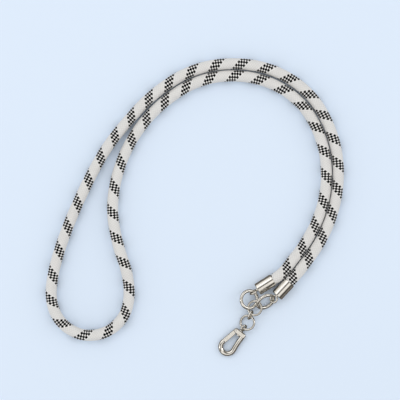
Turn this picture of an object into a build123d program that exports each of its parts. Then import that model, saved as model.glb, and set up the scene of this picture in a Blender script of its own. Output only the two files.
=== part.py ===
from build123d import *
import os
from math import asin, atan, cos, degrees, pi, radians, sin, sqrt, tan

# A neck lanyard laid flat: one length of round braided rope, an end cap with an eye on each end,
# a short chain of rings that joins the two ends, and a swivelling hook with a sprung gate.
# Millimetres. Z is up, the surface it lies on is z = 0, and the origin is under the middle of the
# metal parts.

# ---------------------------------------------------------------- driving dimensions
rope_diameter = 8.0
sheath_wall = 1.1
core_gap = 0.05  # between the braided sheath and the filler yarns
rope_squeeze = 0.5  # taken off the rope's diameter where a cap grips it

cap_wall = 0.5
cap_grip = 9.7  # length of rope inside a cap
cap_bore_gap = 0.05  # between the squeezed rope and the bore, all round
cap_floor = 1.2
cap_round = 0.6
cap_lip_round = 0.2
cap_ground_gap = 0.1  # the caps lie this much above the surface, held by the rope

glue_depth = 1.8
glue_gap = 0.02

eye_wire = 1.24
eye_play = 1.4  # the eye's hole is this much wider than the ring's wire
eye_stud_diameter = 1.8
eye_head_diameter = 3.2
eye_head_thickness = 0.8
eye_collar = 0.3  # height
eye_collar_diameter = 2.4

heavy_radius = 6.1  # left and right rings, to the middle of the wire
heavy_wire = 2.2
light_radius = 4.95  # centre and lower rings
light_wire = 1.5
link_radius = 2.8
link_wire = 1.5
seam_width = 0.08  # the closed cut in each jump ring

swivel_radius = 2.1
swivel_wire = 1.3
swivel_stem_diameter = 1.7
swivel_gap = 0.05  # running clearance round the stem
swivel_end_play = 0.08
swivel_head_diameter = 2.6
swivel_head_thickness = 0.65
swivel_collar_diameter = 2.8
swivel_collar_height = 0.3

hook_bar = 3.4  # diameter of the hook's bar
hook_spine_offset = 3.15  # from the swivel axis to the back of the hook
hook_spine_length = 1.6  # straight part of the back
hook_flare_radius = 60.0
hook_flare = 10.0  # degrees that the back leans outwards before the bend
hook_bend_radius = 4.8  # to the middle of the bar
nose_length = 0.65
head_start = 3.0  # from the middle of the swivel's eye to the hook's head
head_height = 3.1  # of the hook's head, along the swivel axis
head_thickness = 3.6
head_round = 0.6

gate_hinge_offset = 2.9  # from the swivel axis to the hinge pin
gate_width = 3.0
gate_thickness = 3.2
gate_round = 0.55
gate_nose_gap = 0.5
gate_opening = 26.0  # degrees, inwards
gate_head_gap = 0.15  # between the gate and the hook's head
gate_groove_width = 0.6
gate_groove_depth = 0.3
gate_groove_start = 3.2  # from the hinge
gate_groove_length = 6.0
knuckle_diameter = 2.9
knuckle_gap = 0.06  # each side of the knuckle, in the head's slot
slot_width = 1.9
slot_floor = 1.35  # from the swivel axis to the floor of the head's slot
knuckle_height = 0.85
arm_length = 2.6
arm_width = 1.8
pin_diameter = 0.9
pin_gap = 0.05

tongue_length = 1.3
tongue_thickness = 1.0
tongue_width = 1.55
tongue_side = -0.575  # middle of the tongue, towards the outside of the gate
tongue_gap = 0.2

spring_wire = 0.25
spring_radius = 0.85  # to the middle of the wire
spring_pitch = 0.26
spring_whole_turns = 2
spring_base = 0.15  # the first turn's height over the middle of the slot
hook_leg = 1.85
gate_leg = 2.8
spring_hole_gap = 0.1

# ---------------------------------------------------------------- the rope's route
# From inside the left cap, round the arc, down and round the neck loop, and back to the right cap.
# Each point is (x, y), and the rope lies on the surface except in its two caps.
route = [
    (3.6, 19.8),
    (14.4, 26.6),
    (31.4, 44.9),
    (45.4, 70.0),
    (50.4, 97.0),
    (46.8, 123.0),
    (33.8, 148.0),
    (10.6, 164.0),
    (-17.0, 169.0),
    (-43.0, 164.0),
    (-66.5, 148.5),
    (-84.0, 129.0),
    (-96.0, 105.0),
    (-101.5, 77.0),
    (-97.5, 51.0),
    (-88.5, 26.0),
    (-89.2, 3.0),
    (-101.6, -11.5),
    (-120.0, -15.2),
    (-136.7, -6.5),
    (-144.4, 10.6),
    (-141.5, 34.0),
    (-131.5, 63.5),
    (-118.5, 92.5),
    (-105.5, 116.5),
    (-91.0, 135.0),
    (-72.5, 155.0),
    (-46.5, 172.0),
    (-17.0, 177.5),
    (14.0, 172.5),
    (40.5, 154.0),
    (55.0, 125.5),
    (58.8, 97.0),
    (53.2, 67.0),
    (37.9, 38.8),
    (16.7, 16.1),
]
arc_share = 0.45  # of the shorter run beside each corner, taken by the corner's arc

# ---------------------------------------------------------------- sizes worked out from those
rope_radius = rope_diameter / 2
squeezed_diameter = rope_diameter - rope_squeeze
cap_bore_radius = squeezed_diameter / 2 + cap_bore_gap
cap_radius = cap_bore_radius + cap_wall
cap_depth = glue_depth + cap_grip
cap_length = cap_floor + cap_depth
cap_height = cap_radius + cap_ground_gap
eye_radius = (heavy_wire + eye_play + eye_wire) / 2
eye_reach = eye_radius + eye_wire / 2 + eye_collar  # cap's end face to the middle of the eye

route_heights = [rope_radius] * len(route)
for end in (0, 1, -2, -1):
    route_heights[end] = cap_height
route_points = [Vector(x, y, z) for (x, y), z in zip(route, route_heights)]

left_out = (route_points[0] - route_points[1]).normalized()  # out of the left cap's closed end
right_out = (route_points[-1] - route_points[-2]).normalized()
left_end = route_points[0] + left_out * (glue_depth + cap_floor)
right_end = route_points[-1] + right_out * (glue_depth + cap_floor)
left_eye_centre = left_end + left_out * eye_reach
right_eye_centre = right_end + right_out * eye_reach

# In the hook's own frame: the middle of the bend follows from the back, and the gate lies on the
# tangent from its hinge to the bend.
hinge_x = head_start + head_height / 2
bend_x = hinge_x + hook_spine_length + (hook_flare_radius + hook_bend_radius) * sin(radians(hook_flare))
bend_y = (
    hook_spine_offset
    + hook_flare_radius
    - (hook_flare_radius + hook_bend_radius) * cos(radians(hook_flare))
)
hinge_to_bend = Vector(bend_x - hinge_x, bend_y + gate_hinge_offset)
gate_angle = degrees(
    atan(hinge_to_bend.Y / hinge_to_bend.X) - asin(hook_bend_radius / hinge_to_bend.length)
)
gate_reach = sqrt(hinge_to_bend.length**2 - hook_bend_radius**2) - nose_length
hinge = Pos(hinge_x, -gate_hinge_offset, 0)
gate_location = hinge * Rot(0, 0, gate_angle)
spring_rise = spring_pitch * (spring_whole_turns + (90 + gate_angle) / 360)  # one leg along the gate


def heading_vector(heading, dip=0.0):
    """Unit vector at a heading from +X, in degrees, pointing down by dip degrees."""
    flat = cos(radians(dip))
    return Vector(flat * cos(radians(heading)), flat * sin(radians(heading)), -sin(radians(dip)))


def leaning_plane(centre, lean, heading):
    """Plane whose normal leans from +Z towards a heading, and whose X points down the slope."""
    return Plane(
        origin=centre,
        x_dir=heading_vector(heading, lean),
        z_dir=heading_vector(heading, lean - 90),
    )


# ---------------------------------------------------------------- where the rings lie
def hung(above, radii, lap, heading, dip):
    """Middle of a ring that hangs in another: the two radii less their lap, along a heading."""
    return above + heading_vector(heading, dip) * (sum(radii) - lap)


def eye_normal(out, turn):
    """Normal of an eye on a stud along out: level at turn 0, where the eye stands upright."""
    level = out.cross(Vector(0, 0, 1)).normalized()
    return level * cos(radians(turn)) + level.cross(out) * sin(radians(turn))


# Each ring's lap over the ring above it, and the heading and dip of the line between their middles.
left_ring_hang = (2.5, 240, -6)
right_ring_hang = (2.3, 196, -13)
centre_ring_hang = (3.9, 303, 3)
chain_link_hang = (1.9, 238, 9)
lower_ring_hang = (1.9, 249, 7)
swivel_hang = (2.5, 235, 4)

# Each ring's lean from lying flat, and the heading it leans towards.
left_ring_lean = (23, 357)
right_ring_lean = (50, 301)
centre_ring_lean = (21, 171)
chain_link_lean = (71, 337)
lower_ring_lean = (19, 165)

# Where the closed cut in each ring lies, from its lowest point round the ring.
left_ring_seam = 150
right_ring_seam = 90
centre_ring_seam = 60
chain_link_seam = 180
lower_ring_seam = 0

left_ring_centre = hung(left_eye_centre, (eye_radius, heavy_radius), *left_ring_hang)
right_ring_centre = hung(right_eye_centre, (eye_radius, heavy_radius), *right_ring_hang)
centre_ring_centre = hung(left_ring_centre, (heavy_radius, light_radius), *centre_ring_hang)
chain_link_centre = hung(centre_ring_centre, (light_radius, link_radius), *chain_link_hang)
lower_ring_centre = hung(chain_link_centre, (link_radius, light_radius), *lower_ring_hang)
swivel_centre = hung(lower_ring_centre, (light_radius, swivel_radius), *swivel_hang)

left_ring_plane = leaning_plane(left_ring_centre, *left_ring_lean)
right_ring_plane = leaning_plane(right_ring_centre, *right_ring_lean)
centre_ring_plane = leaning_plane(centre_ring_centre, *centre_ring_lean)
chain_link_plane = leaning_plane(chain_link_centre, *chain_link_lean)
lower_ring_plane = leaning_plane(lower_ring_centre, *lower_ring_lean)

left_eye_turn = 15.0
right_eye_turn = 67.0
swivel_turn = -37.0
hook_heading = 232.0
hook_dip = degrees(asin((swivel_centre.Z - hook_bar / 2) / (bend_x + hook_bend_radius)))
hook_out = heading_vector(hook_heading, hook_dip)
hook_plane = Plane(
    origin=swivel_centre,
    x_dir=hook_out,
    z_dir=Vector(0, 0, 1) - hook_out * hook_out.Z,
)


# ---------------------------------------------------------------- helpers
def bar(path, diameter, hollow=0.0):
    """A round bar swept along a path of lines and tangent arcs, or a tube with a hollow inside."""
    section = Circle(diameter / 2)
    if hollow:
        section -= Circle(hollow / 2)
    start = Plane(origin=path @ 0, z_dir=path % 0)
    return sweep(start * section, path=path)


def rod(start, direction, length, diameter):
    """A cylinder from a point, along a direction."""
    return Plane(origin=start, z_dir=direction) * extrude(Circle(diameter / 2), length)


# ---------------------------------------------------------------- rope
def rope_path():
    """The route as straight runs joined by tangent arcs as large as the runs allow."""
    radii = []
    for before, here, after in zip(route_points, route_points[1:], route_points[2:]):
        arriving, leaving = here - before, after - here
        shorter = min(arriving.length, leaving.length)
        radii.append(arc_share * shorter / tan(radians(arriving.get_angle(leaving) / 2)))
    print("arc radii:", " ".join(f"{radius:.1f}" for radius in radii))
    return FilletPolyline(*route_points, radius=radii)


def rope_parts():
    """The braided sheath, squeezed where the caps grip it, and the filler yarns inside it."""
    path = rope_path()
    hollow = rope_diameter - 2 * sheath_wall
    sheath = bar(path, rope_diameter, hollow)
    for tip, out in ((route_points[0], left_out), (route_points[-1], right_out)):
        squeeze = rod(tip + out, -out, cap_grip + 1, rope_diameter + 1)
        squeeze -= rod(tip + out, -out, cap_grip + 1, squeezed_diameter)
        sheath -= squeeze
    core = bar(path, hollow - 2 * core_gap)
    length = path.length
    wall_area = pi * (rope_diameter**2 - hollow**2) / 4
    print(f"rope length {length:.1f}, sheath volume {sheath.volume:.0f} of {wall_area * length:.0f}")
    return sheath, core


# ---------------------------------------------------------------- end caps
def end_cap(end, out):
    """A closed tube with a rounded end and a hole through its floor for the eye's stud."""
    cap = extrude(Circle(cap_radius), cap_length)
    cap -= Pos(0, 0, cap_floor) * extrude(Circle(cap_bore_radius), cap_depth)
    cap = fillet(cap.edges().sort_by(Axis.Z)[0], cap_round)
    cap = fillet(cap.edges().group_by(Axis.Z)[-1], cap_lip_round)
    cap -= extrude(Circle(eye_stud_diameter / 2), cap_floor)
    return Plane(origin=end, z_dir=-out) * cap


def cap_eye(end, out, turn):
    """A ring on a stud that passes through the cap's floor and is headed over inside."""
    centre = end + out * eye_reach
    eye = Plane(origin=centre, x_dir=out, z_dir=eye_normal(out, turn)) * Torus(eye_radius, eye_wire / 2)
    stud_length = eye_collar + eye_wire / 2 + cap_floor
    eye += rod(end - out * cap_floor, out, stud_length, eye_stud_diameter)
    eye += rod(end, out, eye_collar, eye_collar_diameter)
    eye += rod(end - out * cap_floor, -out, eye_head_thickness, eye_head_diameter)
    return eye


def glue_plug(end, out):
    """The adhesive between the cap's floor and the end of the rope, round the stud's head."""
    floor_face = end - out * cap_floor
    plug = rod(floor_face, -out, glue_depth, 2 * (cap_bore_radius - glue_gap))
    return plug - rod(floor_face, -out, eye_head_thickness, eye_head_diameter)


# ---------------------------------------------------------------- rings
def jump_ring(plane, radius, wire, seam_turn):
    """A wire ring in a plane, with its closed cut turned from the plane's X."""
    cut = Pos(radius, 0, 0) * Box(1.2 * wire, seam_width, 1.2 * wire)
    return plane * (Torus(radius, wire / 2) - Rot(0, 0, seam_turn) * cut)


# ---------------------------------------------------------------- hook
# The hook has its own frame: X along the swivel's stem from the middle of the eye, Y towards the
# back of the hook, Z out of its face. The gate's frame has the hinge as its origin, X along the
# closed gate and Y into the hook.
def head_outline(growth=0.0):
    """The hook's head seen from its face: a stadium from the hinge to the back."""
    middle = Pos(hinge_x, (hook_spine_offset - gate_hinge_offset) / 2)
    span = hook_spine_offset + gate_hinge_offset
    return middle * Rot(0, 0, 90) * SlotCenterToCenter(span, head_height + 2 * growth)


def spring_path():
    """The spring's wire from the hinge: a leg to the hook, the coil and a leg to the gate."""
    coil = Pos(0, 0, spring_base) * Rot(0, 0, 180) * Helix(spring_pitch, spring_rise, spring_radius)
    to_hook = Line(coil @ 0 - (coil % 0) * hook_leg, coil @ 0)
    to_gate = Line(coil @ 1, coil @ 1 + (coil % 1) * gate_leg)
    return Wire([to_hook.edge(), coil.edge(), to_gate.edge()])


def spring_hole(leg_end, way, length):
    """The blind hole that a leg of the spring ends in."""
    return rod(leg_end - way * length, way, length + spring_hole_gap, spring_wire + 2 * spring_hole_gap)


def hook_body():
    """The head with its slot and bores, the back, the bend and the nose with its tongue."""
    head = extrude(head_outline(), head_thickness / 2, both=True)
    head = fillet(head.edges().group_by(Axis.Z)[0] + head.edges().group_by(Axis.Z)[-1], head_round)
    back = Line((hinge_x, hook_spine_offset), (hinge_x + hook_spine_length, hook_spine_offset))
    flare = JernArc(back @ 1, back % 1, hook_flare_radius, hook_flare)
    bend = JernArc(flare @ 1, flare % 1, hook_bend_radius, gate_angle - hook_flare - 180)
    nose = Line(bend @ 1, (bend @ 1) + (bend % 1) * nose_length)
    hook = head + bar(back + flare + bend + nose, hook_bar)
    tongue_root = gate_reach + nose_length / 2
    hook += gate_location * Pos(tongue_root, tongue_side, 0) * Box(
        nose_length / 2 + tongue_length,
        tongue_width,
        tongue_thickness,
        align=(Align.MAX, Align.CENTER, Align.CENTER),
    )
    hook -= Pos(hinge_x, -slot_floor, 0) * Box(
        2 * head_height, 2 * head_height, slot_width, align=(Align.CENTER, Align.MAX, Align.CENTER)
    )
    bore = Plane(origin=(0, 0, 0), z_dir=(1, 0, 0)) * extrude(
        Circle(swivel_stem_diameter / 2 + swivel_gap), head_start + head_height + 1
    )
    hook -= bore
    hook -= hinge * extrude(Circle(pin_diameter / 2), head_thickness, both=True)
    path = spring_path()
    hook -= hinge * spring_hole(path @ 0, -(path % 0), hook_leg)
    return hook


def swivel_eye():
    """The eye, its collar, its stem through the hook's head and the head formed on its end."""
    normal = eye_normal(Vector(1, 0, 0), swivel_turn)
    eye = Plane(origin=(0, 0, 0), x_dir=(1, 0, 0), z_dir=normal) * Torus(swivel_radius, swivel_wire / 2)
    stem = Plane(origin=(head_start - swivel_end_play, 0, 0), z_dir=(1, 0, 0))
    stem_length = head_height + 2 * swivel_end_play
    eye += stem * extrude(Circle(swivel_stem_diameter / 2), stem_length)
    eye += stem * extrude(Circle(swivel_collar_diameter / 2), -swivel_collar_height)
    eye += stem * Pos(0, 0, stem_length) * extrude(Circle(swivel_head_diameter / 2), swivel_head_thickness)
    return eye


def swept_by_head(growth):
    """What the gate keeps clear of: the hook's head and the head of the swivel's stem."""
    keep = extrude(head_outline(growth), head_thickness, both=True)
    stem_end = head_start + head_height + swivel_end_play
    keep += Plane(origin=(stem_end, 0, 0), z_dir=(1, 0, 0)) * extrude(
        Circle(swivel_head_diameter / 2 + growth), swivel_head_thickness + growth
    )
    return keep


def hook_gate():
    """The gate in its own frame: a grooved bar slotted for the tongue, and its knuckle."""
    length = gate_reach - gate_nose_gap
    gate = Box(length, gate_width, gate_thickness, align=(Align.MIN, Align.CENTER, Align.CENTER))
    gate = fillet(gate.edges().filter_by(Axis.X), gate_round)
    for opening in (0, gate_opening / 3, 2 * gate_opening / 3, gate_opening):
        gate -= (gate_location * Rot(0, 0, opening)).inverse() * swept_by_head(gate_head_gap)
    slot_depth = tongue_length + tongue_gap - gate_nose_gap
    gate -= Pos(length, tongue_side + tongue_width / 2 + tongue_gap, 0) * Box(
        slot_depth,
        2 * gate_width,
        tongue_thickness + 2 * tongue_gap,
        align=(Align.MAX, Align.MAX, Align.CENTER),
    )
    for turn in (0, 180):
        gate -= Rot(turn, 0, 0) * Pos(gate_groove_start, 0, gate_thickness / 2) * Box(
            gate_groove_length,
            gate_groove_width,
            2 * gate_groove_depth,
            align=(Align.MIN, Align.CENTER, Align.CENTER),
        )
    knuckle_low = -slot_width / 2 + knuckle_gap
    knuckle = extrude(Circle(knuckle_diameter / 2), knuckle_height)
    knuckle += Box(
        arm_length, arm_width, knuckle_height, align=(Align.MIN, Align.CENTER, Align.MIN)
    )
    knuckle -= extrude(Circle(pin_diameter / 2 + pin_gap), knuckle_height)
    gate += Pos(0, 0, knuckle_low) * knuckle
    path = spring_path()
    gate -= Rot(0, 0, -gate_angle) * spring_hole(path @ 1, path % 1, gate_leg)
    return gate_location * gate


def gate_pin():
    """The hinge pin, from face to face of the hook's head."""
    return hinge * extrude(Circle(pin_diameter / 2), head_thickness / 2, both=True)


def gate_spring():
    """A torsion spring round the pin, over the knuckle, with a leg in the hook and one in the gate."""
    return hinge * bar(spring_path(), spring_wire)


# ---------------------------------------------------------------- write the pieces
def build():
    """Every piece by name, where it lies."""
    sheath, core = rope_parts()
    pieces = {"rope_sheath": sheath, "rope_core": core}
    for side, end, out, turn in (
        ("left", left_end, left_out, left_eye_turn),
        ("right", right_end, right_out, right_eye_turn),
    ):
        pieces[f"{side}_end_cap"] = end_cap(end, out)
        pieces[f"{side}_cap_eye"] = cap_eye(end, out, turn)
        pieces[f"{side}_glue_plug"] = glue_plug(end, out)
    pieces["left_ring"] = jump_ring(left_ring_plane, heavy_radius, heavy_wire, left_ring_seam)
    pieces["right_ring"] = jump_ring(right_ring_plane, heavy_radius, heavy_wire, right_ring_seam)
    pieces["centre_ring"] = jump_ring(centre_ring_plane, light_radius, light_wire, centre_ring_seam)
    pieces["chain_link"] = jump_ring(chain_link_plane, link_radius, link_wire, chain_link_seam)
    pieces["lower_ring"] = jump_ring(lower_ring_plane, light_radius, light_wire, lower_ring_seam)
    pieces["hook_swivel_eye"] = hook_plane * swivel_eye()
    pieces["hook_body"] = hook_plane * hook_body()
    pieces["hook_gate"] = hook_plane * hook_gate()
    pieces["gate_pin"] = hook_plane * gate_pin()
    pieces["gate_spring"] = hook_plane * gate_spring()
    return pieces


os.makedirs("parts", exist_ok=True)
for name, piece in build().items():
    export_step(piece, f"parts/{name}.step")
    print(f"{name}: {len(piece.solids())} solid, {piece.volume:.2f} mm3")
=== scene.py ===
"""Looks of a neck lanyard: braided rope, plated caps, rings and a sprung hook, laid flat.

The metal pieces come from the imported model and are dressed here. The rope's sheath and its filler
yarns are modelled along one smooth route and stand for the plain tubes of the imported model.
"""

from __future__ import annotations

import logging
import math
from dataclasses import dataclass, field
from enum import Enum
from typing import Any

import bpy
import numpy as np
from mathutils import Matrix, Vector

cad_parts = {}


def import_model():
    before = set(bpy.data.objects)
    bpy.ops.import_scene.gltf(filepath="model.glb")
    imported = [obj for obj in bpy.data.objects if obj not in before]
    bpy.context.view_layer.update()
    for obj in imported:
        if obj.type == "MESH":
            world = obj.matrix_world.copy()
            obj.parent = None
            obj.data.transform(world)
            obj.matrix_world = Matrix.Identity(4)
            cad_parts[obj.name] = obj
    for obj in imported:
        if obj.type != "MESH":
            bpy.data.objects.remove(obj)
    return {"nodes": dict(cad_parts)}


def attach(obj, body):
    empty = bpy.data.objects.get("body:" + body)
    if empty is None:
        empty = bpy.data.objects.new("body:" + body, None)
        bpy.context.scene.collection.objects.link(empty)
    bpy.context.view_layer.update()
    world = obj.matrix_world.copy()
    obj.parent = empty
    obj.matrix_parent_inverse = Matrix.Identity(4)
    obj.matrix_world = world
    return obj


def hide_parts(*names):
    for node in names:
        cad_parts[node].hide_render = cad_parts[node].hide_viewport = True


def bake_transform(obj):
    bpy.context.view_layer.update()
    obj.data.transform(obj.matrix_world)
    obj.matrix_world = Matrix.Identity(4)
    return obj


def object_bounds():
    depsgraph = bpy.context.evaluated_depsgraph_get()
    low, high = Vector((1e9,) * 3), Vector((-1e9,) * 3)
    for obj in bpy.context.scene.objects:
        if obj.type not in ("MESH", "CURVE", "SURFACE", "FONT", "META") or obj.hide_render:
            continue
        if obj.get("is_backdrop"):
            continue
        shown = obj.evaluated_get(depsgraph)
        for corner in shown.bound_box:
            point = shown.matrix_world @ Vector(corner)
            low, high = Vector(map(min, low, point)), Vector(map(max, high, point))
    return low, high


MM = 0.001
Colour = tuple[float, float, float, float]
TURN = 2.0 * math.pi
LOG = logging.getLogger("lanyard")

Socket = bpy.types.NodeSocket
Operand = Any  # a socket, a number or a tuple of numbers


# ---------------------------------------------------------------- node trees
class Wiring:
    """Short calls that add and join the nodes of one tree."""

    def __init__(self, tree: bpy.types.NodeTree) -> None:
        """Starts on a tree, which may already hold nodes.

        Args:
            tree: The shader or geometry tree to add to.
        """
        self.tree = tree

    def add(self, kind: str, **settings: Any) -> bpy.types.Node:
        """Adds a node.

        Args:
            kind: The node's type name.
            settings: Properties of the node, by name.

        Returns:
            The new node.
        """
        node = self.tree.nodes.new(kind)
        node.location.x = 180 * len(self.tree.nodes)
        for name, value in settings.items():
            setattr(node, name, value)
        return node

    def feed(self, target: Socket, value: Operand) -> None:
        """Joins a socket to an input, or writes a plain value on it.

        Args:
            target: The input.
            value: A socket to join, or the value.
        """
        if isinstance(value, bpy.types.NodeSocket):
            self.tree.links.new(value, target)
        else:
            target.default_value = value

    def math(self, operation: str, *operands: Operand, clamp: bool = False) -> Socket:
        """Adds a Math node.

        Args:
            operation: The operation's name.
            operands: Its sockets or numbers, in order.
            clamp: Whether the result is kept from 0 to 1.

        Returns:
            The result's socket.
        """
        node = self.add("ShaderNodeMath", operation=operation, use_clamp=clamp)
        for target, value in zip(node.inputs, operands):
            self.feed(target, value)
        return node.outputs[0]

    def blend(self, factor: Operand, first: Operand, second: Operand) -> Socket:
        """Mixes two numbers.

        Args:
            factor: 0 gives the first, 1 the second.
            first: A socket or number.
            second: A socket or number.

        Returns:
            The mixed number's socket.
        """
        node = self.add("ShaderNodeMix", data_type="FLOAT", clamp_factor=True)
        for index, value in ((0, factor), (2, first), (3, second)):
            self.feed(node.inputs[index], value)
        return node.outputs[0]

    def tint(self, factor: Operand, first: Operand, second: Operand, mode: str = "MIX") -> Socket:
        """Mixes two colours.

        Args:
            factor: 0 gives the first, 1 the second.
            first: A socket or a colour of four numbers.
            second: A socket or a colour of four numbers.
            mode: The way they are mixed.

        Returns:
            The mixed colour's socket.
        """
        node = self.add("ShaderNodeMix", data_type="RGBA", blend_type=mode)
        for index, value in ((0, factor), (6, first), (7, second)):
            self.feed(node.inputs[index], value)
        return node.outputs[2]

    def shade(self, colour: Operand, tone: Socket) -> Socket:
        """Darkens or lightens a colour.

        Args:
            colour: A socket or a colour of four numbers.
            tone: What each part of it is multiplied by.

        Returns:
            The shaded colour's socket.
        """
        grey = self.add("ShaderNodeCombineColor")
        for target in grey.inputs:
            self.feed(target, tone)
        return self.tint(1.0, colour, grey.outputs[0], "MULTIPLY")

    def step(self, value: Operand, low: float, high: float) -> Socket:
        """A smooth step of a number.

        Args:
            value: The number's socket.
            low: Where the step leaves 0.
            high: Where it reaches 1.

        Returns:
            The step's socket.
        """
        node = self.add("ShaderNodeMapRange", interpolation_type="SMOOTHSTEP")
        self.feed(node.inputs[0], value)
        node.inputs[1].default_value = low
        node.inputs[2].default_value = high
        return node.outputs[0]

    def noise(self, place: Operand, scale: Operand, detail: float = 3.0) -> Socket:
        """Adds a Noise Texture.

        Args:
            place: The coordinate's socket.
            scale: Lumps per metre.
            detail: Layers of finer noise.

        Returns:
            The noise value's socket, about 0.5 on average.
        """
        node = self.add("ShaderNodeTexNoise")
        self.feed(node.inputs["Vector"], place)
        self.feed(node.inputs["Scale"], scale)
        node.inputs["Detail"].default_value = detail
        return node.outputs["Fac"]


def shader_group(name: str, inputs: dict[str, Any], outputs: dict[str, str]) -> Wiring:
    """Starts a shader node group with named sockets.

    Args:
        name: The group's name.
        inputs: Default values by name: a number, a colour of four, or None for a vector.
        outputs: Socket kinds by name, such as "Float" or "Color".

    Returns:
        The wiring of the group, which holds its Group Input and Group Output.
    """
    tree = bpy.data.node_groups.new(name, "ShaderNodeTree")
    for label, value in inputs.items():
        kind = "Vector" if value is None else "Color" if isinstance(value, tuple) else "Float"
        made = tree.interface.new_socket(label, in_out="INPUT", socket_type=f"NodeSocket{kind}")
        if value is not None:
            made.default_value = value
    for label, kind in outputs.items():
        tree.interface.new_socket(label, in_out="OUTPUT", socket_type=f"NodeSocket{kind}")
    wiring = Wiring(tree)
    wiring.add("NodeGroupInput", name="in")
    wiring.add("NodeGroupOutput", name="out")
    return wiring


# ---------------------------------------------------------------- effects shared by finishes
class Effects:
    """The shader node groups that more than one finish uses, each built once.

    Noise is given in lumps per metre.
    """

    YARN_PATCHES, YARN_FUZZ = 45.0, 2600.0
    YARN_PATCH_SHARE = 0.6
    CLOUDS, HAIRLINES, PITS = 240.0, 420.0, 2100.0
    CLOUD_RANGE, HAIRLINE_RANGE, PIT_RANGE = (0.4, 0.68), (0.6, 0.72), (0.7, 0.78)
    CLOUD_WEAR, HAIRLINE_WEAR, MARK_WEAR = 0.35, 0.4, 0.8
    HAIRLINE_TURN = (0.3, 0.2, 0.9)
    HAIRLINE_STRETCH = (1.0, 14.0, 5.0)

    def __init__(self) -> None:
        """Builds every group."""
        self.fibre = self._fibre()
        self.handling = self._handling()

    def _fibre(self) -> bpy.types.NodeTree:
        """Builds the fine unevenness of spun yarn.

        Returns:
            A group that puts out a tone about 1 and a height from 0 to 1.
        """
        w = shader_group(
            "yarn_fibre", {"Place": None, "Spread": 0.06}, {"Tone": "Float", "Height": "Float"}
        )
        source, sink = w.tree.nodes["in"], w.tree.nodes["out"]
        place, spread = source.outputs["Place"], source.outputs["Spread"]
        patches = w.noise(place, self.YARN_PATCHES, 2.0)
        fuzz = w.noise(place, self.YARN_FUZZ, 4.0)
        both = w.math(
            "ADD",
            w.math("MULTIPLY", patches, self.YARN_PATCH_SHARE),
            w.math("MULTIPLY", fuzz, 1.0 - self.YARN_PATCH_SHARE),
        )
        swing = w.math("MULTIPLY", w.math("SUBTRACT", both, 0.5), w.math("MULTIPLY", spread, 4.0))
        w.feed(sink.inputs["Tone"], w.math("ADD", 1.0, swing))
        w.feed(sink.inputs["Height"], fuzz)
        return w.tree

    def _handling(self) -> bpy.types.NodeTree:
        """Builds the marks of handling on smooth metal: clouding, hairlines and small pits.

        Returns:
            A group that puts out a colour, a roughness and a height from 0 to 1.
        """
        w = shader_group(
            "handled_metal",
            {
                "Place": None,
                "Bright": (0.8, 0.8, 0.8, 1.0),
                "Worn": (0.6, 0.6, 0.6, 1.0),
                "Smooth": 0.15,
                "Dull": 0.3,
            },
            {"Colour": "Color", "Roughness": "Float", "Height": "Float"},
        )
        source, sink = w.tree.nodes["in"], w.tree.nodes["out"]
        place = source.outputs["Place"]
        clouds = w.step(w.noise(place, self.CLOUDS, 4.0), *self.CLOUD_RANGE)
        stretch = w.add("ShaderNodeMapping")
        w.feed(stretch.inputs["Vector"], place)
        stretch.inputs["Rotation"].default_value = self.HAIRLINE_TURN
        stretch.inputs["Scale"].default_value = self.HAIRLINE_STRETCH
        lines = w.step(w.noise(stretch.outputs[0], self.HAIRLINES, 5.0), *self.HAIRLINE_RANGE)
        pits = w.step(w.noise(place, self.PITS, 2.0), *self.PIT_RANGE)
        marks = w.math("MAXIMUM", w.math("MULTIPLY", lines, self.HAIRLINE_WEAR), pits)
        worn = w.math(
            "MAXIMUM",
            w.math("MULTIPLY", clouds, self.CLOUD_WEAR),
            w.math("MULTIPLY", marks, self.MARK_WEAR),
        )
        w.feed(
            sink.inputs["Colour"],
            w.tint(worn, source.outputs["Bright"], source.outputs["Worn"]),
        )
        w.feed(
            sink.inputs["Roughness"],
            w.blend(worn, source.outputs["Smooth"], source.outputs["Dull"]),
        )
        w.feed(sink.inputs["Height"], w.math("SUBTRACT", 1.0, w.math("MULTIPLY", marks, 0.5)))
        return w.tree


# ---------------------------------------------------------------- finishes
class Slot(Enum):
    """The material slots of the record that pieces take their finish from."""

    BRAID = "braid"
    FILLER = "filler"
    NICKEL = "nickel"
    ADHESIVE = "adhesive"
    PIN_STEEL = "pin_steel"
    SPRING_STEEL = "spring_steel"


def start_material(name: str) -> tuple[Wiring, bpy.types.Node, bpy.types.Node]:
    """Starts a material.

    Args:
        name: The material's name.

    Returns:
        Its wiring, its Principled BSDF and its Texture Coordinate node.
    """
    material = bpy.data.materials.new(name)
    material.use_nodes = True
    wiring = Wiring(material.node_tree)
    shader = material.node_tree.nodes["Principled BSDF"]
    return wiring, shader, wiring.add("ShaderNodeTexCoord")


def place_group(wiring: Wiring, tree: bpy.types.NodeTree, **values: Operand) -> bpy.types.Node:
    """Places a shader node group in a material.

    Args:
        wiring: The material's wiring.
        tree: The group.
        values: Its inputs by name.

    Returns:
        The group's node.
    """
    node = wiring.add("ShaderNodeGroup", node_tree=tree)
    for name, value in values.items():
        wiring.feed(node.inputs[name], value)
    return node


def raise_surface(wiring: Wiring, shader: bpy.types.Node, height: Socket, depth: float) -> None:
    """Feeds a height to the shader's normal.

    Args:
        wiring: The material's wiring.
        shader: The Principled BSDF.
        height: The height's socket, from 0 to 1.
        depth: What a height of 1 is worth, in metres.
    """
    bump = wiring.add("ShaderNodeBump")
    bump.inputs["Strength"].default_value = 1.0
    bump.inputs["Distance"].default_value = depth
    wiring.feed(bump.inputs["Height"], height)
    wiring.feed(shader.inputs["Normal"], bump.outputs["Normal"])


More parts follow.
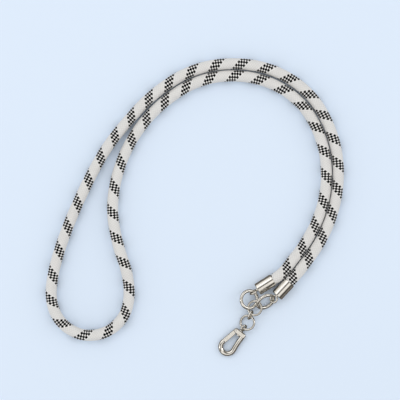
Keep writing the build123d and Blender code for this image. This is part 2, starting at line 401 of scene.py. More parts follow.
@dataclass(frozen=True)
class Metal:
    """A smooth metal with marks of handling."""

    name: str
    bright: Colour
    worn: Colour
    smooth: float  # roughness where it is bright
    dull: float  # roughness where it is worn
    mark_depth: float

    def make(self, effects: Effects) -> bpy.types.Material:
        """Builds the material.

        Args:
            effects: The shared node groups.

        Returns:
            The material.
        """
        w, shader, where = start_material(self.name)
        marks = place_group(
            w,
            effects.handling,
            Place=where.outputs["Object"],
            Bright=self.bright,
            Worn=self.worn,
            Smooth=self.smooth,
            Dull=self.dull,
        )
        shader.inputs["Metallic"].default_value = 1.0
        w.feed(shader.inputs["Base Color"], marks.outputs["Colour"])
        w.feed(shader.inputs["Roughness"], marks.outputs["Roughness"])
        raise_surface(w, shader, marks.outputs["Height"], self.mark_depth)
        return bpy.data.materials[self.name]


@dataclass(frozen=True)
class Glue:
    """Set clear adhesive with small bubbles."""

    name: str = "set_adhesive"
    colour: Colour = (0.66, 0.55, 0.28, 1.0)
    deep: Colour = (0.42, 0.31, 0.12, 1.0)
    swirls: float = 700.0  # per metre
    bubbles: float = 3000.0  # per metre
    swirl_range: tuple[float, float] = (0.3, 0.7)
    bubble_range: tuple[float, float] = (0.66, 0.7)
    bubble_depth: float = 0.06 * MM
    roughness: float = 0.22
    coat: float = 0.4

    def make(self, effects: Effects) -> bpy.types.Material:
        """Builds the material.

        Args:
            effects: The shared node groups, which this finish doesn't use.

        Returns:
            The material.
        """
        w, shader, where = start_material(self.name)
        swirl = w.noise(where.outputs["Object"], self.swirls, 3.0)
        bubbles = w.noise(where.outputs["Object"], self.bubbles, 1.0)
        bubbles = w.step(bubbles, *self.bubble_range)
        depth = w.step(swirl, *self.swirl_range)
        w.feed(shader.inputs["Base Color"], w.tint(depth, self.colour, self.deep))
        shader.inputs["Roughness"].default_value = self.roughness
        shader.inputs["Coat Weight"].default_value = self.coat
        raise_surface(w, shader, bubbles, self.bubble_depth)
        return bpy.data.materials[self.name]


@dataclass(frozen=True)
class Filler:
    """Undyed filler yarn: soft, matt and fibrous."""

    name: str = "filler_yarn"
    colour: Colour = (0.74, 0.73, 0.70, 1.0)
    fuzz_depth: float = 0.08 * MM
    fibre_tone: float = 0.08
    roughness: float = 0.9
    sheen: float = 0.3

    def make(self, effects: Effects) -> bpy.types.Material:
        """Builds the material.

        Args:
            effects: The shared node groups.

        Returns:
            The material.
        """
        w, shader, where = start_material(self.name)
        fibre = place_group(
            w, effects.fibre, Place=where.outputs["Object"], Spread=self.fibre_tone
        )
        w.feed(shader.inputs["Base Color"], w.shade(self.colour, fibre.outputs["Tone"]))
        shader.inputs["Roughness"].default_value = self.roughness
        shader.inputs["Sheen Weight"].default_value = self.sheen
        raise_surface(w, shader, fibre.outputs["Height"], self.fuzz_depth)
        return bpy.data.materials[self.name]


@dataclass(frozen=True)
class BraidFinish:
    """A braid of pale yarns in which a few neighbouring yarns of one hand are dark.

    Its UV map holds turns round the rope in U and turns of the yarns' helix in V.
    """

    yarns: int
    dark_yarns: int
    first_dark: float
    name: str = "braided_yarn"
    pale: Colour = (0.765, 0.76, 0.75, 1.0)
    dark: Colour = (0.003, 0.003, 0.004, 1.0)
    filaments: int = 6
    spread: float = 0.11  # of a crossing, by which dark yarns show past the yarns over them
    softness: float = 0.03  # of a crossing, over which a dark yarn's edge fades
    corner: float = 0.66  # of a crossing from its middle, where a dark yarn's corner is rounded
    corner_softness: float = 0.08
    crown: tuple[float, float] = (0.22, 0.52)  # of a crossing, where a yarn's side falls off
    dive: tuple[float, float] = (0.3, 0.56)  # of a crossing, where a yarn's end goes under
    pillow_share: float = 0.8  # of the surface's height
    thread_share: float = 0.14
    fuzz_share: float = 0.1
    relief: float = 0.16 * MM
    # painted shade: the share of the yarn's colour left in the valleys between crossings, where
    # shade falls
    valley_shade_level: float = 0.9
    lot_tone: float = 0.03  # by which one yarn may differ from the next
    fibre_tone: float = 0.035
    pale_roughness: float = 0.82
    dark_roughness: float = 0.66
    gloss: float = 0.12

    def _weave(self, w: Wiring, uv: Socket) -> dict[str, Socket]:
        """Works out which yarn lies on top at each place, and its shape.

        Args:
            w: The material's wiring.
            uv: The UV coordinate's socket.

        Returns:
            Sockets by name: "left" (1 where a left-handed yarn is on top), "index" (the yarn's
            number), "under" and "ahead" (the numbers of the left-handed yarns beneath it and at
            its nearer end), "across" and "along" (-0.5 to 0.5 over one crossing).
        """
        split = w.add("ShaderNodeSeparateXYZ")
        w.feed(split.inputs[0], uv)
        turn, rise = split.outputs[0], split.outputs[1]
        left = w.math("MULTIPLY", w.math("ADD", turn, rise), float(self.yarns))
        right = w.math("MULTIPLY", w.math("SUBTRACT", turn, rise), float(self.yarns))
        left_index, right_index = w.math("ROUND", left), w.math("ROUND", right)
        left_off = w.math("SUBTRACT", left, left_index)
        right_off = w.math("SUBTRACT", right, right_index)
        under = w.math("FLOORED_MODULO", w.math("ADD", left_index, right_index), 2.0)
        return {
            "left": w.math("SUBTRACT", 1.0, under),
            "index": w.blend(under, left_index, right_index),
            "under": left_index,
            "ahead": w.math("ADD", left_index, w.math("SIGN", left_off)),
            "across": w.blend(under, left_off, right_off),
            "along": w.blend(under, right_off, left_off),
        }

    def _is_dark(self, w: Wiring, index: Socket) -> Socket:
        """Tells whether a left-handed yarn is one of the dark ones.

        Args:
            w: The material's wiring.
            index: The yarn's number.

        Returns:
            A socket that is 1 for a dark yarn, otherwise 0.
        """
        turned = w.math("SUBTRACT", index, self.first_dark)
        number = w.math("FLOORED_MODULO", turned, float(self.yarns))
        return w.math("LESS_THAN", number, self.dark_yarns - 0.5)

    def _dark_places(self, w: Wiring, weave: dict[str, Socket]) -> Socket:
        """Finds where a dark yarn shows: on top of a crossing, or past the yarn over it.

        Args:
            w: The material's wiring.
            weave: What _weave worked out.

        Returns:
            A socket that is 1 on dark yarn and 0 on pale yarn.
        """
        across, along = weave["across"], weave["along"]
        reach = w.math(
            "SQRT", w.math("ADD", w.math("POWER", across, 2.0), w.math("POWER", along, 2.0))
        )
        rim = w.step(reach, self.corner, self.corner + self.corner_softness)
        spot = w.math("SUBTRACT", 1.0, rim)
        on_top = w.math("MULTIPLY", self._is_dark(w, weave["index"]), spot)
        edge = 0.5 - self.spread
        beside = w.step(w.math("ABSOLUTE", across), edge, edge + self.softness)
        beyond = w.step(w.math("ABSOLUTE", along), edge, edge + self.softness)
        showing = w.math(
            "MAXIMUM",
            w.math("MULTIPLY", self._is_dark(w, weave["under"]), beside),
            w.math("MULTIPLY", self._is_dark(w, weave["ahead"]), beyond),
        )
        return w.blend(weave["left"], showing, on_top)

    def _pillow(self, w: Wiring, weave: dict[str, Socket]) -> Socket:
        """Shapes the yarn on top of a crossing, which bulges and dives at its ends.

        Args:
            w: The material's wiring.
            weave: What _weave worked out.

        Returns:
            A socket from 0 between yarns to 1 on top of one.
        """
        side = w.step(w.math("ABSOLUTE", weave["across"]), *self.crown)
        end = w.step(w.math("ABSOLUTE", weave["along"]), *self.dive)
        return w.math(
            "MULTIPLY", w.math("SUBTRACT", 1.0, side), w.math("SUBTRACT", 1.0, end)
        )

    def _lot(self, w: Wiring, weave: dict[str, Socket]) -> Socket:
        """Gives each yarn a tone of its own.

        Args:
            w: The material's wiring.
            weave: What _weave worked out.

        Returns:
            A socket about 0, to add to the tone.
        """
        seed = w.add("ShaderNodeTexWhiteNoise", noise_dimensions="2D")
        pair = w.add("ShaderNodeCombineXYZ")
        w.feed(pair.inputs[0], w.math("FLOORED_MODULO", weave["index"], float(self.yarns)))
        w.feed(pair.inputs[1], weave["left"])
        w.feed(seed.inputs["Vector"], pair.outputs[0])
        return w.math("MULTIPLY", w.math("SUBTRACT", seed.outputs["Value"], 0.5), self.lot_tone)

    def make(self, effects: Effects) -> bpy.types.Material:
        """Builds the material.

        Args:
            effects: The shared node groups.

        Returns:
            The material.
        """
        w, shader, where = start_material(self.name)
        weave = self._weave(w, where.outputs["UV"])
        fibre = place_group(
            w, effects.fibre, Place=where.outputs["Object"], Spread=self.fibre_tone
        )
        dark, pillow = self._dark_places(w, weave), self._pillow(w, weave)
        lot = w.math("ADD", fibre.outputs["Tone"], self._lot(w, weave))
        # Painted shade: the colour darkens from the crown of each crossing into the valleys between
        # yarns, where shade would fall. The tone it multiplies also carries each yarn's own random
        # tone.
        painted_valley_shade = w.math(
            "ADD", self.valley_shade_level, w.math("MULTIPLY", pillow, 1.0 - self.valley_shade_level)
        )
        tone = w.math("MULTIPLY", lot, painted_valley_shade)
        w.feed(shader.inputs["Base Color"], w.shade(w.tint(dark, self.pale, self.dark), tone))
        w.feed(shader.inputs["Roughness"], w.blend(dark, self.pale_roughness, self.dark_roughness))
        shader.inputs["Specular IOR Level"].default_value = self.gloss

        angle = w.math("MULTIPLY", weave["across"], TURN * self.filaments)
        threads = w.math("ADD", w.math("SINE", angle), 1.0)
        ridge = w.math("MULTIPLY", threads, self.thread_share / 2.0)
        fuzz = w.math("MULTIPLY", fibre.outputs["Height"], self.fuzz_share)
        crown = w.math("MULTIPLY", pillow, self.pillow_share)
        raise_surface(w, shader, w.math("ADD", crown, w.math("ADD", ridge, fuzz)), self.relief)
        return bpy.data.materials[self.name]


# ---------------------------------------------------------------- rope
@dataclass
class BraidedRope:
    """One length of round braided rope, from inside the left cap to inside the right cap."""

    diameter: float = 8.0 * MM
    gripped: float = 7.5 * MM
    grip: float = 9.7 * MM
    swell: float = 2.2 * MM  # over which the rope comes back to its full thickness
    wall: float = 1.1 * MM
    pitch: float = 17.82 * MM  # of one yarn's helix
    yarns: int = 10  # of each hand
    dark_yarns: int = 4
    first_dark: float = 0.0
    lead: float = -6.3 * MM  # how far the yarns' pattern is drawn towards the left cap
    crossing_depth: float = 0.2 * MM
    steps: int = 4  # mesh steps from one crossing to the next
    rest_height: float = 4.0 * MM
    cap_height: float = 4.4 * MM
    straight: float = 20.0 * MM  # over which the rope eases off the cap's axis
    fillers: int = 7
    filler_gap: float = 0.05 * MM
    filler_twist: float = 45.0 * MM
    filler_stations: int = 600
    filler_fit: float = 0.985  # a yarn's share of the room it has
    route: list[tuple[float, float]] = field(
        default_factory=lambda: [
            (3.6, 19.8),
            (14.4, 26.6),
            (31.4, 44.9),
            (45.4, 70.0),
            (50.4, 97.0),
            (46.8, 123.0),
            (33.8, 148.0),
            (10.6, 164.0),
            (-17.0, 169.0),
            (-43.0, 164.0),
            (-66.5, 148.5),
            (-84.0, 129.0),
            (-96.0, 105.0),
            (-101.5, 77.0),
            (-97.5, 51.0),
            (-88.5, 26.0),
            (-89.2, 3.0),
            (-101.6, -11.5),
            (-120.0, -15.2),
            (-136.7, -6.5),
            (-144.4, 10.6),
            (-141.5, 34.0),
            (-131.5, 63.5),
            (-118.5, 92.5),
            (-105.5, 116.5),
            (-91.0, 135.0),
            (-72.5, 155.0),
            (-46.5, 172.0),
            (-17.0, 177.5),
            (14.0, 172.5),
            (40.5, 154.0),
            (55.0, 125.5),
            (58.8, 97.0),
            (53.2, 67.0),
            (37.9, 38.8),
            (16.7, 16.1),
        ]
    )

    def __post_init__(self) -> None:
        """Reads the smooth route and shares it out into whole turns of the yarns."""
        self.line = self._smooth_line()
        runs = np.linalg.norm(np.diff(self.line, axis=0), axis=1)
        self.reached = np.concatenate([[0.0], np.cumsum(runs)])
        self.length = float(self.reached[-1])
        self.turns = round(self.length / self.pitch)

    def _smooth_line(self) -> np.ndarray:
        """Makes the route's NURBS spline and reads its points.

        Returns:
            Points along the spline, in metres.
        """
        curve = bpy.data.curves.new("rope_route", "CURVE")
        curve.dimensions = "3D"
        curve.resolution_u = 24
        spline = curve.splines.new("NURBS")
        spline.points.add(len(self.route) - 1)
        heights = [self.rest_height] * len(self.route)
        for end in (0, 1, -2, -1):
            heights[end] = self.cap_height
        for point, (x, y), z in zip(spline.points, self.route, heights):
            point.co = (x * MM, y * MM, z, 1.0)
        spline.order_u = 3
        spline.use_endpoint_u = True
        holder = link_object("rope_route", curve)
        bpy.context.view_layer.update()
        mesh = bpy.data.meshes.new_from_object(holder)
        points = np.array([vertex.co for vertex in mesh.vertices], float)
        bpy.data.objects.remove(holder)
        bpy.data.meshes.remove(mesh)
        return points

    def frames(self, count: int) -> tuple[np.ndarray, np.ndarray, np.ndarray, np.ndarray]:
        """Even stations along the rope.

        Args:
            count: How many runs the rope is shared into.

        Returns:
            Distances along the rope, centres, sideways directions and upward directions, such
            that sideways, upward and forward are a right-handed set.
        """
        along = np.linspace(0.0, self.length, count + 1)
        centres = np.stack([np.interp(along, self.reached, axis) for axis in self.line.T], axis=1)
        for start, inner, way in (
            (self.line[0], self.line[1], along),
            (self.line[-1], self.line[-2], self.length - along),
        ):
            axis = (inner - start) / np.linalg.norm(inner - start)
            offsets = centres - start
            on_axis = start + np.outer(offsets @ axis, axis)
            ease = np.clip((way - self.grip) / self.straight, 0.0, 1.0)[:, None]
            held = 1.0 - ease_in_out(ease)
            near = (way < self.grip + self.straight)[:, None]
            centres = np.where(near, centres + (on_axis - centres) * held, centres)
        forward = np.gradient(centres, along, axis=0)
        forward /= np.linalg.norm(forward, axis=1)[:, None]
        side = np.cross(np.array([0.0, 0.0, 1.0]), forward)
        side /= np.linalg.norm(side, axis=1)[:, None]
        return along, centres, side, np.cross(forward, side)

    def outer_radius(self, along: np.ndarray) -> np.ndarray:
        """The rope's radius, which the caps squeeze.

        Args:
            along: Distances along the rope.

        Returns:
            The radius at each distance.
        """
        from_end = np.minimum(along, self.length - along)
        free = np.clip((from_end - self.grip) / self.swell, 0.0, 1.0)
        return (self.gripped + (self.diameter - self.gripped) * ease_in_out(free)) / 2.0

    def crossing_height(self, turn: np.ndarray, rise: np.ndarray) -> np.ndarray:
        """How far the yarn on top stands up.

        Args:
            turn: Turns round the rope.
            rise: Turns of the yarns' helix along it.

        Returns:
            From 0 between yarns to 1 at the crown of a crossing.
        """
        left = self.yarns * (turn + rise)
        right = self.yarns * (turn - rise)
        left_off = np.abs(left - np.round(left))
        right_off = np.abs(right - np.round(right))
        return (1.0 - (2.0 * left_off) ** 2) * (1.0 - (2.0 * right_off) ** 2)

    def sheath(self) -> bpy.types.Object:
        """Models the braided sheath, with raised crossings outside and a plain wall inside.

        Returns:
            The sheath's object, with its UV map.
        """
        around = self.yarns * self.steps
        count = self.turns * self.yarns * self.steps
        along, centres, side, up = self.frames(count)
        turn = np.arange(around) / around
        rise = np.linspace(0.0, self.turns, count + 1) + self.lead / self.pitch
        spread, climb = np.meshgrid(turn, rise)
        raised = self.crossing_height(spread, climb) - 1.0
        radius = self.outer_radius(along)[:, None] + self.crossing_depth * raised
        outer = ring_points(centres, side, up, radius, turn)

        inner_step = self.yarns * self.steps // 4
        inner_rows = np.arange(0, count + 1, inner_step)
        bore = np.full((len(inner_rows), 1), self.diameter / 2.0 - self.wall)
        inner = ring_points(centres[inner_rows], side[inner_rows], up[inner_rows], bore, turn)

        points = np.concatenate([outer.reshape(-1, 3), inner.reshape(-1, 3)])
        start = (count + 1) * around
        faces = grid_faces(count + 1, around, 0, False)
        faces += grid_faces(len(inner_rows), around, start, True)
        last_outer, last_inner = count * around, start + (len(inner_rows) - 1) * around
        for k in range(around):
            after = (k + 1) % around
            faces.append((k, start + k, start + after, after))
            faces.append(
                (last_outer + k, last_outer + after, last_inner + after, last_inner + k)
            )
        mesh = bpy.data.meshes.new("rope_braid")
        mesh.from_pydata(points.tolist(), [], faces)
        self._map_yarns(mesh, around, count, start, inner_rows)
        mesh.shade_smooth()
        mesh.update()
        return link_object("rope_braid", mesh)

    def _map_yarns(
        self, mesh: bpy.types.Mesh, around: int, count: int, start: int, rows: np.ndarray
    ) -> None:
        """Writes the UV map: turns round the rope, and turns of the yarns' helix.

        Args:
            mesh: The sheath's mesh.
            around: Points in one ring.
            count: Runs of the outer wall.
            start: First point of the inner wall.
            rows: Outer stations that the inner wall's rings share.
        """
        index = np.zeros(len(mesh.loops), np.int32)
        mesh.loops.foreach_get("vertex_index", index)
        inside = index >= start
        local = np.where(inside, index - start, index)
        turn = (local % around) / around
        station = local // around
        station = np.where(inside, rows[np.clip(station, 0, len(rows) - 1)], station)
        by_face = turn.reshape(-1, 4)
        wraps = (by_face.max(axis=1) - by_face.min(axis=1)) > 0.5
        by_face[wraps] = np.where(by_face[wraps] < 0.5, by_face[wraps] + 1.0, by_face[wraps])
        rise = station / count * self.turns + self.lead / self.pitch
        uv = np.stack([by_face.reshape(-1), rise], axis=1)
        layer = mesh.uv_layers.new(name="yarns")
        layer.data.foreach_set("uv", uv.astype(np.float32).reshape(-1))

    def filler(self) -> bpy.types.Object:
        """Models the twisted filler yarns inside the sheath.

        Returns:
            The bundle's object.
        """
        along, centres, _, _ = self.frames(self.filler_stations)
        curve = bpy.data.curves.new("filler_line", "CURVE")
        curve.dimensions = "3D"
        curve.twist_mode = "Z_UP"
        spline = curve.splines.new("POLY")
        spline.points.add(len(centres) - 1)
        spline.points.foreach_set("co", np.c_[centres, np.ones(len(centres))].reshape(-1))
        holder = link_object("filler_line", curve)
        room = self.diameter / 2.0 - self.wall - self.filler_gap
        yarn = room / 3.0
        tree = self._filler_tree()
        modifier = holder.modifiers.new("fillers", "NODES")
        modifier.node_group = tree
        values = {
            "Yarn radius": yarn * self.filler_fit,
            "Ring radius": 2.0 * yarn,
            "Yarns": self.fillers - 1,
            "Turns": self.length / self.filler_twist,
        }
        for item in tree.interface.items_tree:
            if item.in_out == "INPUT" and item.name in values:
                modifier[item.identifier] = values[item.name]
        bpy.context.view_layer.update()
        depsgraph = bpy.context.evaluated_depsgraph_get()
        mesh = bpy.data.meshes.new_from_object(holder.evaluated_get(depsgraph))
        mesh.name = "filler_yarns"
        bpy.data.objects.remove(holder)
        mesh.materials.clear()
        return link_object("filler_yarns", mesh)

    @staticmethod
    def _filler_tree() -> bpy.types.NodeTree:
        """Builds the tree that sweeps a ring of round yarns and one in the middle along a curve.

        Returns:
            The geometry tree.
        """
        tree = bpy.data.node_groups.new("filler_bundle", "GeometryNodeTree")
        tree.interface.new_socket("Line", in_out="INPUT", socket_type="NodeSocketGeometry")
        for name in ("Yarn radius", "Ring radius", "Turns"):
            tree.interface.new_socket(name, in_out="INPUT", socket_type="NodeSocketFloat")
        tree.interface.new_socket("Yarns", in_out="INPUT", socket_type="NodeSocketInt")
        tree.interface.new_socket("Yarn mesh", in_out="OUTPUT", socket_type="NodeSocketGeometry")
        w = Wiring(tree)
        source, sink = w.add("NodeGroupInput"), w.add("NodeGroupOutput")
        ring = w.add("GeometryNodeMeshCircle")
        w.feed(ring.inputs["Vertices"], source.outputs["Yarns"])
        w.feed(ring.inputs["Radius"], source.outputs["Ring radius"])
        middle = w.add("GeometryNodeMeshLine")
        middle.inputs["Count"].default_value = 1
        places = w.add("GeometryNodeJoinGeometry")
        w.feed(places.inputs[0], ring.outputs[0])
        w.feed(places.inputs[0], middle.outputs[0])
        round_yarn = w.add("GeometryNodeCurvePrimitiveCircle")
        round_yarn.inputs["Resolution"].default_value = 9
        w.feed(round_yarn.inputs["Radius"], source.outputs["Yarn radius"])
        spread = w.add("GeometryNodeInstanceOnPoints")
        w.feed(spread.inputs["Points"], places.outputs[0])
        w.feed(spread.inputs["Instance"], round_yarn.outputs[0])
        profile = w.add("GeometryNodeRealizeInstances")
        w.feed(profile.inputs[0], spread.outputs[0])
        share = w.add("GeometryNodeSplineParameter")
        tilt = w.math("MULTIPLY", share.outputs["Factor"], source.outputs["Turns"])
        twist = w.add("GeometryNodeSetCurveTilt")
        w.feed(twist.inputs["Curve"], source.outputs["Line"])
        w.feed(twist.inputs["Tilt"], w.math("MULTIPLY", tilt, TURN))
        swept = w.add("GeometryNodeCurveToMesh")
        w.feed(swept.inputs["Curve"], twist.outputs[0])
        w.feed(swept.inputs["Profile Curve"], profile.outputs[0])
        swept.inputs["Fill Caps"].default_value = True
        smooth = w.add("GeometryNodeSetShadeSmooth")
        w.feed(smooth.inputs[0], swept.outputs[0])
        made = w.add("GeometryNodeRealizeInstances")
        w.feed(made.inputs[0], smooth.outputs[0])
        finish = w.add("GeometryNodeSetMaterial")
        w.feed(finish.inputs[0], made.outputs[0])
        w.feed(sink.inputs[0], finish.outputs[0])
        return tree

    def lay(self, body: str, finishes: dict[Slot, bpy.types.Material]) -> None:
        """Args:
            body: The CAD body that the rope rides on.
            finishes: Materials by slot.
        """
        for piece, node, slot, thick in (
            (self.sheath(), "rope_sheath", Slot.BRAID, self.diameter),
            (self.filler(), "rope_core", Slot.FILLER, self.diameter - 2.0 * self.wall),
        ):
            dress(piece, finishes[slot])
            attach(piece, body)
            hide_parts(node)
            LOG.info("%s: %d faces, %.3f m", piece.name, len(piece.data.polygons), self.length)


def ring_points(
    centres: np.ndarray, side: np.ndarray, up: np.ndarray, radius: np.ndarray, turn: np.ndarray
) -> np.ndarray:
    """Points of rings round a line.

    Args:
        centres: The rings' middles.
        side: Directions at turn 0.
        up: Directions at a quarter turn.
        radius: Radii, by ring and by point or by ring alone.
        turn: Turns of the points round each ring.

    Returns:
        An array of rings by points by three.
    """
    wide = np.cos(TURN * turn)[None, :, None] * side[:, None, :]
    high = np.sin(TURN * turn)[None, :, None] * up[:, None, :]
    return centres[:, None, :] + radius[:, :, None] * (wide + high)


def grid_faces(rings: int, around: int, start: int, inward: bool) -> list[tuple[int, ...]]:
    """Faces of a tube of rings.

    Args:
        rings: How many rings.
        around: Points in each.
        start: The first point's number.
        inward: Whether the faces point to the tube's middle.

    Returns:
        Faces of four points each.
    """
    row, column = np.meshgrid(np.arange(rings - 1), np.arange(around), indexing="ij")
    after = (column + 1) % around
    here, there = start + row * around, start + (row + 1) * around
    corners = np.stack([here + column, here + after, there + after, there + column], axis=2)
    corners = corners.reshape(-1, 4)
    return [tuple(face) for face in (corners[:, ::-1] if inward else corners).tolist()]


def ease_in_out(share: np.ndarray) -> np.ndarray:
    """Eases a share out of 0 and into 1.

    Args:
        share: Numbers from 0 to 1.

    Returns:
        The same numbers eased.
    """
    return share * share * (3.0 - 2.0 * share)


def link_object(name: str, data: bpy.types.ID) -> bpy.types.Object:
    """Puts a mesh, curve, lamp or camera in the scene.

    Args:
        name: The object's name.
        data: Its mesh, curve, lamp or camera.

    Returns:
        The object.
    """
    made = bpy.data.objects.new(name, data)
    bpy.context.collection.objects.link(made)
    return made


def dress(piece: bpy.types.Object, material: bpy.types.Material) -> None:
    """Gives a piece one material.

    Args:
        piece: The object.
        material: The material.
    """
    piece.data.materials.clear()
    piece.data.materials.append(material)


# ---------------------------------------------------------------- metal pieces
@dataclass(frozen=True)
class Hardware:
    """The caps, rings and hook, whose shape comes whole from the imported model."""

    steel: tuple[tuple[str, Slot], ...] = (
        ("gate_pin", Slot.PIN_STEEL),
        ("gate_spring", Slot.SPRING_STEEL),
    )
    glued: tuple[str, ...] = ("left_glue_plug", "right_glue_plug")
    spring_held: float = 0.5 * MM  # before the hinge
    spring_free: float = 1.1 * MM  # past the hinge
    plated: tuple[str, ...] = (
        "left_end_cap",
        "right_end_cap",
        "left_cap_eye",
        "right_cap_eye",
        "left_ring",
        "right_ring",
        "centre_ring",
        "chain_link",
        "lower_ring",
        "hook_swivel_eye",
        "hook_body",
        "hook_gate",
    )

    def slots(self) -> dict[str, Slot]:
        """Lists the finish of each node.

        Returns:
            Slots by the node's name.
        """
        named = {node: Slot.NICKEL for node in self.plated}
        named.update({node: Slot.ADHESIVE for node in self.glued})
        named.update(dict(self.steel))
        return named

    def bend_spring(self, node: bpy.types.Object, material: bpy.types.Material) -> None:
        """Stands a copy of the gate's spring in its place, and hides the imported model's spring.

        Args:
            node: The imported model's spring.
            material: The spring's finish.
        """
        mesh = node.data.copy()
        mesh.transform(node.matrix_world)
        wire = link_object("gate_spring_wire", mesh)
        dress(wire, material)
        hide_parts("gate_spring")
        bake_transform(wire)

    def dress(
        self, nodes: dict[str, bpy.types.Object], finishes: dict[Slot, bpy.types.Material]
    ) -> None:
        """Gives every metal and glue node its finish.

        Args:
            nodes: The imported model's nodes by name.
            finishes: Materials by slot.
        """
        for name, slot in self.slots().items():
            dress(nodes[name], finishes[slot])
            LOG.info("%s: %s", name, slot.value)
        self.bend_spring(nodes["gate_spring"], finishes[Slot.SPRING_STEEL])


# ---------------------------------------------------------------- studio
@dataclass(frozen=True)
class SoftBox:
    """An area lamp that hangs at an offset from the middle of the view."""

    name: str
    offset: tuple[float, float, float]
    size: tuple[float, float]
    power: float  # watts


@dataclass(frozen=True)
class Studio:
    """A pale floor, soft lamps and a camera that looks straight down."""

    floor_size: float = 6.0
    floor_drop: float = 0.1 * MM
    floor_roughness: float = 0.9
    floor_gloss: float = 0.1
    floor_colour: Colour = (0.715, 0.82, 0.965, 1.0)
    # painted reflection: the darker colour the floor shows only in the metal's reflections, to give
    # the metal dark edges
    painted_floor_reflection: Colour = (0.15, 0.14, 0.125, 1.0)
    sky_colour: Colour = (0.88, 0.93, 1.0, 1.0)
    fill_colour: Colour = (1.0, 0.99, 0.97, 1.0)
    fill_strength: float = 0.84
    card_colour: Colour = (1.0, 0.975, 0.93, 1.0)
    gap_colour: Colour = (0.07, 0.062, 0.052, 1.0)
    card_heading: float = 50.0  # degrees
    card_count: float = 4.0
    card_noise: float = 1.2
    card_patches: float = 2.2
    card_edge: float = 0.5
    soft_boxes: tuple[SoftBox, ...] = (
        SoftBox("key", (-0.5, 0.55, 1.1), (0.9, 0.7), 2.4),
        SoftBox("left_strip", (-0.9, -0.25, 0.45), (0.12, 0.9), 0.8),
        SoftBox("right_strip", (0.85, 0.1, 0.6), (0.12, 0.9), 1.2),
    )
    view_width: float = 0.280
    view_centre: tuple[float, float] = (-0.0392, 0.08085)
    view_height: float = 1.3
    rope_height: float = 4.0 * MM  # where the view is as wide as stated
    sensor: float = 36.0

    def floor(self) -> None:
        """Lays the floor under the object, clear when it is seen from below, and painted darker
        where the metal mirrors it: a painted reflection.
        """
        half = self.floor_size / 2.0
        corners = [(-half, -half, 0.0), (half, -half, 0.0), (half, half, 0.0), (-half, half, 0.0)]
        mesh = bpy.data.meshes.new("floor")
        mesh.from_pydata(corners, [], [(0, 1, 2, 3)])
        floor = link_object("floor", mesh)
        floor.location.z = -self.floor_drop
        w, shader, _ = start_material("pale_floor")
        # Painted reflection: glossy rays see the floor in a darker colour than the camera does.
        rays = w.add("ShaderNodeLightPath")
        shade = w.tint(rays.outputs["Is Glossy Ray"], self.floor_colour, self.painted_floor_reflection)
        w.feed(shader.inputs["Base Color"], shade)
        shader.inputs["Roughness"].default_value = self.floor_roughness
        shader.inputs["Specular IOR Level"].default_value = self.floor_gloss
        facing = w.add("ShaderNodeNewGeometry")
        clear = w.add("ShaderNodeBsdfTransparent")
        one_sided = w.add("ShaderNodeMixShader")
        w.feed(one_sided.inputs[0], facing.outputs["Backfacing"])
        w.feed(one_sided.inputs[1], shader.outputs["BSDF"])
        w.feed(one_sided.inputs[2], clear.outputs["BSDF"])
        w.feed(w.tree.nodes["Material Output"].inputs["Surface"], one_sided.outputs[0])
        dress(floor, bpy.data.materials["pale_floor"])
        floor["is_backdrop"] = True

    def world(self) -> None:
        """Fills the room with even light, a pale backdrop and darker walls for metal to mirror."""
        world = bpy.data.worlds.new("studio")
        bpy.context.scene.world = world
        world.use_nodes = True
        w = Wiring(world.node_tree)
        ground = world.node_tree.nodes["Background"]
        rays = w.add("ShaderNodeLightPath")
        seen = rays.outputs["Is Camera Ray"]
        mirrored = rays.outputs["Is Glossy Ray"]
        lit = w.tint(mirrored, self.fill_colour, self.cards(w))
        w.feed(ground.inputs["Color"], w.tint(seen, lit, self.sky_colour))
        bright = w.blend(mirrored, self.fill_strength, 1.0)
        w.feed(ground.inputs["Strength"], w.blend(seen, bright, 1.0))

    def cards(self, w: Wiring) -> Socket:
        """Draws what the metal mirrors: white cards side by side, with dark gaps between them.

        Args:
            w: The world's wiring.

        Returns:
            The colour's socket.
        """
        where = w.add("ShaderNodeTexCoord")
        turn = w.add("ShaderNodeMapping", vector_type="VECTOR")
        w.feed(turn.inputs["Vector"], where.outputs["Generated"])
        turn.inputs["Rotation"].default_value = (0.0, 0.0, math.radians(self.card_heading))
        axes = w.add("ShaderNodeSeparateXYZ")
        w.feed(axes.inputs[0], turn.outputs[0])
        swing = w.math("ARCTAN2", axes.outputs[0], axes.outputs[2])
        wave = w.math("SINE", w.math("MULTIPLY", swing, self.card_count))
        patches = w.noise(where.outputs["Generated"], self.card_patches, 2.0)
        uneven = w.math("SUBTRACT", patches, 0.5)
        wave = w.math("ADD", wave, w.math("MULTIPLY", uneven, self.card_noise))
        inside = w.step(wave, -self.card_edge, self.card_edge)
        return w.tint(inside, self.gap_colour, self.card_colour)

    def lamps(self) -> None:
        """Hangs the soft boxes, each facing the middle of the view."""
        aim = Vector((*self.view_centre, 0.0))
        for box in self.soft_boxes:
            data = bpy.data.lights.new(box.name, "AREA")
            data.shape = "RECTANGLE"
            data.size, data.size_y = box.size
            data.energy = box.power
            lamp = link_object(box.name, data)
            lamp.location = aim + Vector(box.offset)
            lamp.rotation_euler = (aim - lamp.location).to_track_quat("-Z", "Y").to_euler()

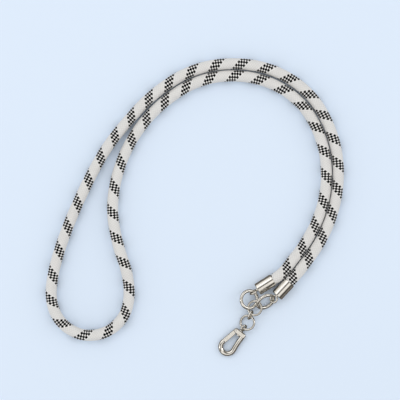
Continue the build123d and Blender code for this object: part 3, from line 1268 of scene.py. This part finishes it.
    def camera(self) -> None:
        """Sets the camera straight over the object, with the object's +Y up in the view."""
        data = bpy.data.cameras.new("camera")
        data.sensor_width = self.sensor
        data.lens = self.sensor * (self.view_height - self.rope_height) / self.view_width
        data.clip_start = 0.01
        camera = link_object("camera", data)
        camera.location = (*self.view_centre, self.view_height)
        bpy.context.scene.camera = camera

    def set_up(self) -> None:
        """Builds the whole studio."""
        self.floor()
        self.world()
        self.lamps()
        self.camera()
        bpy.context.scene.view_settings.view_transform = "Standard"


def make_finishes(rope: BraidedRope) -> dict[Slot, bpy.types.Material]:
    """Builds every finish.

    Args:
        rope: The rope, whose yarns the braid's pattern follows.

    Returns:
        Materials by slot.
    """
    effects = Effects()
    recipes = {
        Slot.BRAID: BraidFinish(rope.yarns, rope.dark_yarns, rope.first_dark),
        Slot.FILLER: Filler(),
        Slot.NICKEL: Metal(
            name="nickel_plating",
            bright=(0.83, 0.81, 0.77, 1.0),
            worn=(0.62, 0.59, 0.54, 1.0),
            smooth=0.17,
            dull=0.27,
            mark_depth=0.005 * MM,
        ),
        Slot.ADHESIVE: Glue(),
        Slot.PIN_STEEL: Metal(
            name="pin_steel",
            bright=(0.60, 0.60, 0.60, 1.0),
            worn=(0.42, 0.42, 0.43, 1.0),
            smooth=0.25,
            dull=0.42,
            mark_depth=0.01 * MM,
        ),
        Slot.SPRING_STEEL: Metal(
            name="spring_steel",
            bright=(0.46, 0.46, 0.48, 1.0),
            worn=(0.30, 0.29, 0.30, 1.0),
            smooth=0.28,
            dull=0.48,
            mark_depth=0.006 * MM,
        ),
    }
    return {slot: recipe.make(effects) for slot, recipe in recipes.items()}


def corners_of(bounds: Any) -> Any:
    """Turns a box of vectors into plain lists of numbers.

    Args:
        bounds: The box, a vector or a number.

    Returns:
        The same numbers, in lists.
    """
    if isinstance(bounds, (int, float)):
        return float(bounds)
    return [corners_of(part) for part in bounds]


def main() -> None:
    """Builds the lanyard's looks and the studio."""
    logging.basicConfig(level=logging.INFO, format="%(name)s: %(message)s")
    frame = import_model()
    cad_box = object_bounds()
    rope = BraidedRope()
    finishes = make_finishes(rope)
    rope.lay("rope_loop", finishes)
    Hardware().dress(frame["nodes"], finishes)
    Studio().set_up()
    {"cad": corners_of(cad_box), "visual": corners_of(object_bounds())}


if __name__ == "__main__":
    main()
